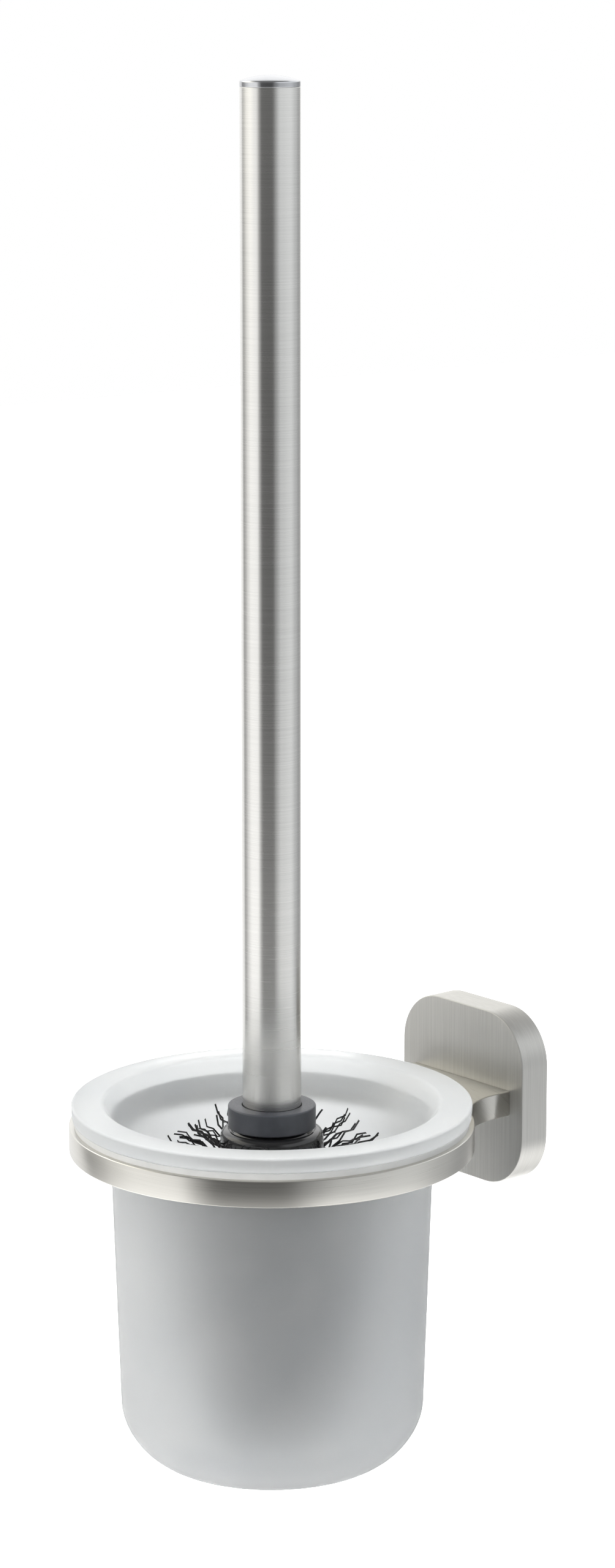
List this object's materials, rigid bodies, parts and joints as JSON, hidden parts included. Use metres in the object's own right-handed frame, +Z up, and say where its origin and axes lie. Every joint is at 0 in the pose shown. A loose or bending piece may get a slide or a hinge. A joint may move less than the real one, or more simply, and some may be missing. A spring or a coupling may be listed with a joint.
{
  "type": "toilet brush holder",
  "caption": "Wall-mounted toilet brush set: a brushed steel ring on a short arm holds a frosted glass bowl with a tube-handled brush standing in it.",
  "frame": {"origin": "on the wall plane, at the centre of the wall bracket's back face, level with the middle of the arm and the ring", "axes": "+Y into the wall, +Z up along the brush handle, +X to the right seen from the room"},
  "size_m": [0.1108, 0.1349, 0.3814],
  "materials": {
    "brushed_steel": "brushed along one direction",
    "polished_steel": "polished",
    "bracket_aluminium": "die-cast",
    "screw_steel": "turned",
    "seat_plastic": "translucent, satin",
    "frosted_glass": "satin etched",
    "sleeve_nylon": "matt",
    "insert_brass": "turned",
    "seal_rubber": "matt",
    "collar_rubber": "matt",
    "head_plastic": "glossy",
    "bristle_nylon": "crimped filament"
  },
  "bodies": {
    "wall_holder": {"wall_cover": "brushed_steel", "wall_bracket": "bracket_aluminium", "grub_screw": "screw_steel", "arm_screw_left": "screw_steel", "arm_screw_right": "screw_steel", "holder_ring": "brushed_steel", "seat_ring": "seat_plastic"},
    "bowl": {"glass_bowl": "frosted_glass"},
    "handle": {"handle_tube": "brushed_steel", "end_cap": "polished_steel", "cap_sleeve": "sleeve_nylon", "tube_insert": "insert_brass", "tube_seal": "seal_rubber", "stud": "screw_steel", "collar": "collar_rubber"},
    "brush_head": {"head_core": "head_plastic", "head_nut": "insert_brass", "bristles_top": "bristle_nylon", "bristles_side": "bristle_nylon", "bristles_end": "bristle_nylon"}
  },
  "joints": [
    {"name": "bowl_lift", "type": "slide", "parent": "wall_holder", "child": "bowl", "axis": [0, 0, 1], "range_m": [0, 0.12]},
    {"name": "brush_lift", "type": "slide", "parent": "bowl", "child": "handle", "axis": [0, 0, 1], "range_m": [0, 0.13]},
    {"name": "head_unscrew", "type": "hinge", "parent": "handle", "child": "brush_head", "pos_m": [0, -0.0795, 0], "axis": [0, 0, 1], "continuous": true}
  ]
}
